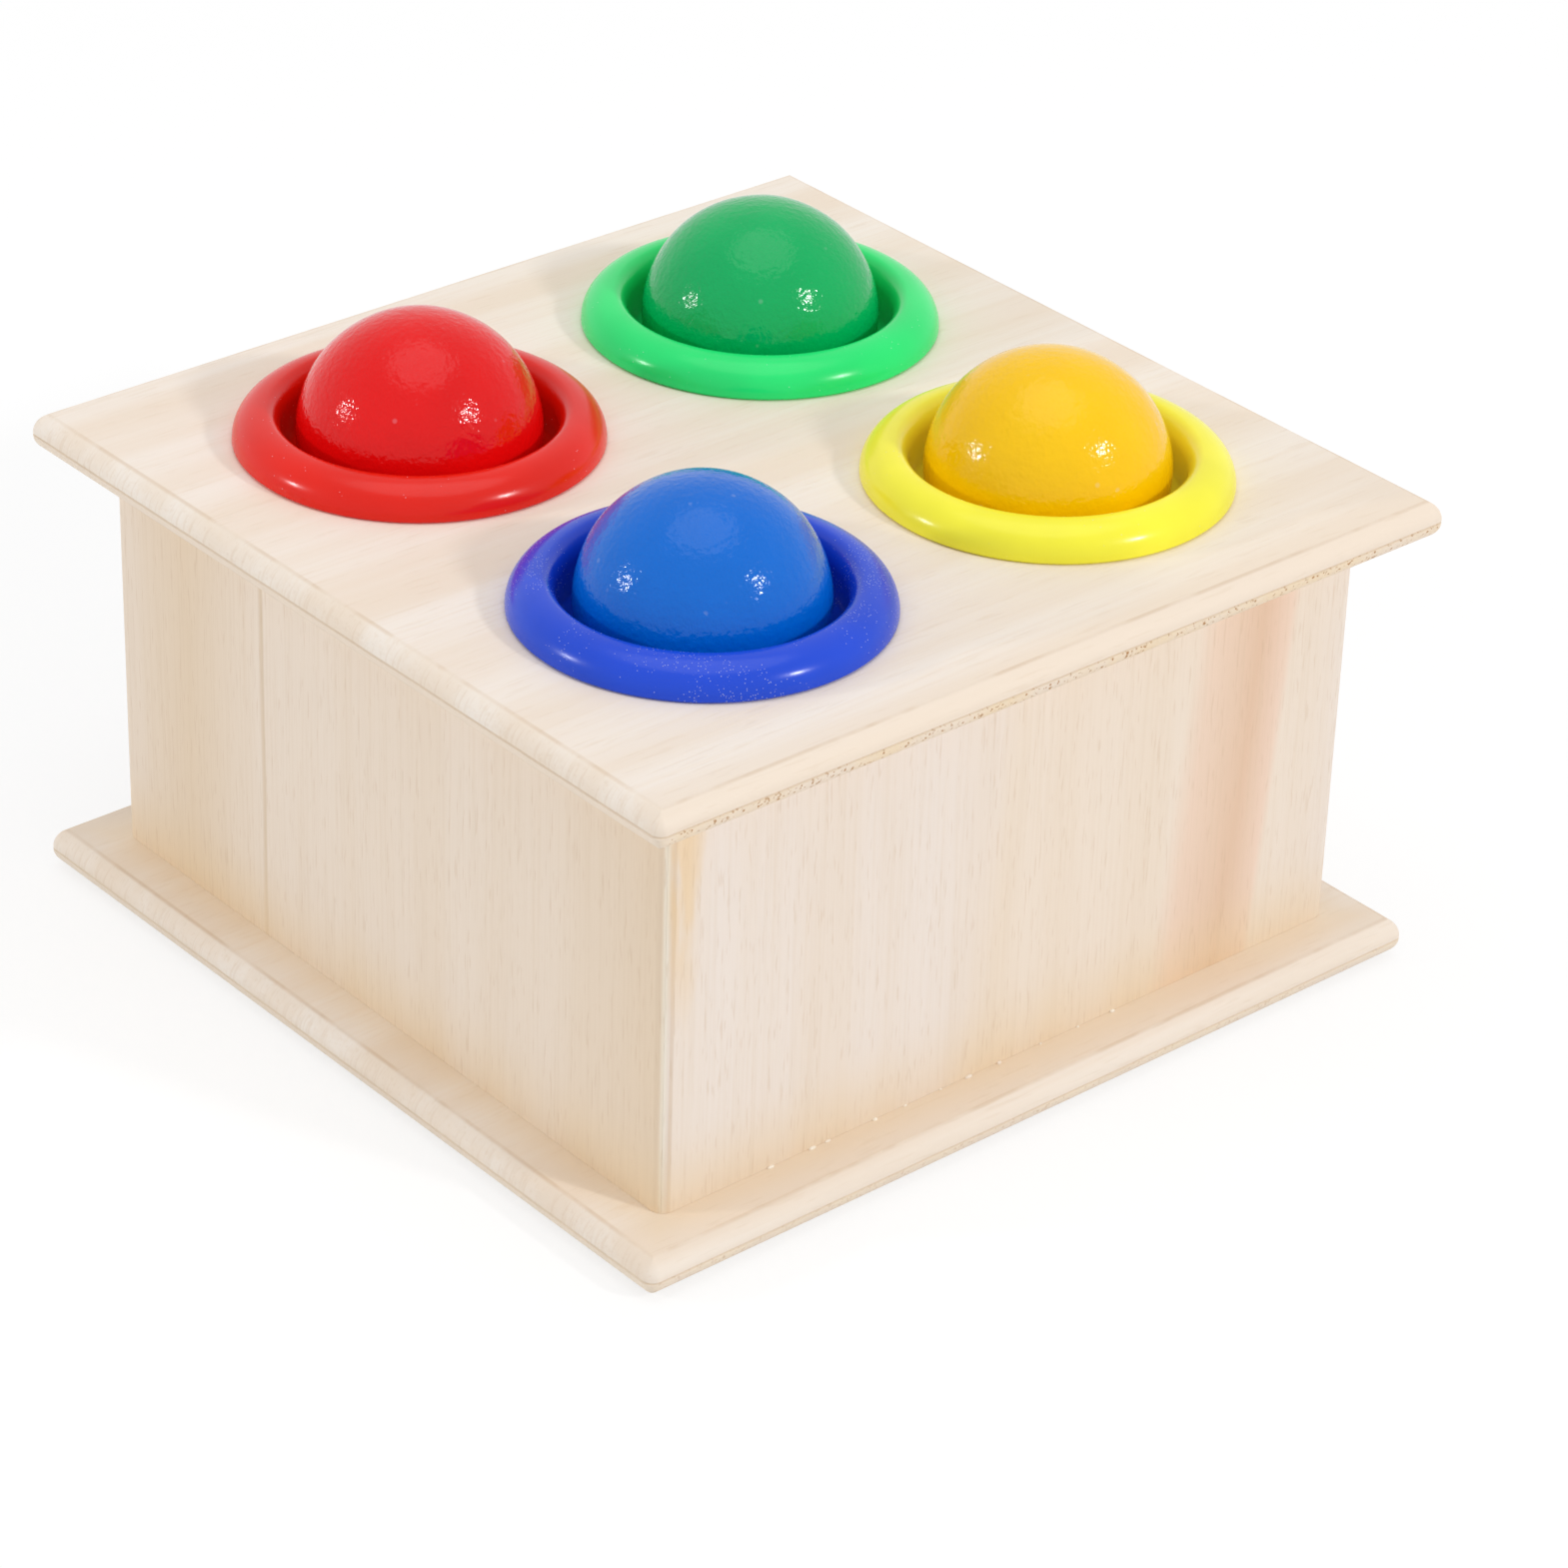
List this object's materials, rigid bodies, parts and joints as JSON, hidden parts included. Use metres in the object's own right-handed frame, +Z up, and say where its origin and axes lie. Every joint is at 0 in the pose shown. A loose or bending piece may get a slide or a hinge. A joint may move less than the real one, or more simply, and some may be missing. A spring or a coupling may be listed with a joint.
{
  "type": "pounding bench",
  "caption": "Wooden pounding bench: a square box with an open back, whose painted balls are tapped down through flexible plastic rings in its top board.",
  "frame": {"origin": "middle of the base board's underside", "axes": "+Z up through the top board, +Y out of the open back, -Y out of the front wall"},
  "size_m": [0.11, 0.11, 0.0726],
  "materials": {
    "plywood": "bare sanded plywood, pale",
    "wall_wood": "bare sanded poplar, upright grain",
    "red_plastic": "glossy moulded red plastic",
    "red_paint": "wood under glossy red paint",
    "green_plastic": "glossy moulded green plastic",
    "green_paint": "wood under glossy green paint",
    "blue_plastic": "glossy moulded blue plastic",
    "blue_paint": "wood under glossy blue paint",
    "yellow_plastic": "glossy moulded yellow plastic",
    "yellow_paint": "wood under glossy yellow paint"
  },
  "bodies": {
    "box": {"top_board": "plywood", "base_board": "plywood", "front_wall": "wall_wood", "left_wall": "wall_wood", "right_wall": "wall_wood", "red_ring": "red_plastic", "green_ring": "green_plastic", "blue_ring": "blue_plastic", "yellow_ring": "yellow_plastic"},
    "red_ball": {"red_ball": "red_paint"},
    "green_ball": {"green_ball": "green_paint"},
    "blue_ball": {"blue_ball": "blue_paint"},
    "yellow_ball": {"yellow_ball": "yellow_paint"}
  },
  "joints": [
    {"name": "red_drop", "type": "slide", "parent": "box", "child": "red_ball", "axis": [0, 0, 1], "range_m": [-0.0402, 0], "deforming": ["red_ring"]},
    {"name": "green_drop", "type": "slide", "parent": "box", "child": "green_ball", "axis": [0, 0, 1], "range_m": [-0.0402, 0], "deforming": ["green_ring"]},
    {"name": "blue_drop", "type": "slide", "parent": "box", "child": "blue_ball", "axis": [0, 0, 1], "range_m": [-0.0402, 0], "deforming": ["blue_ring"]},
    {"name": "yellow_drop", "type": "slide", "parent": "box", "child": "yellow_ball", "axis": [0, 0, 1], "range_m": [-0.0402, 0], "deforming": ["yellow_ring"]}
  ]
}
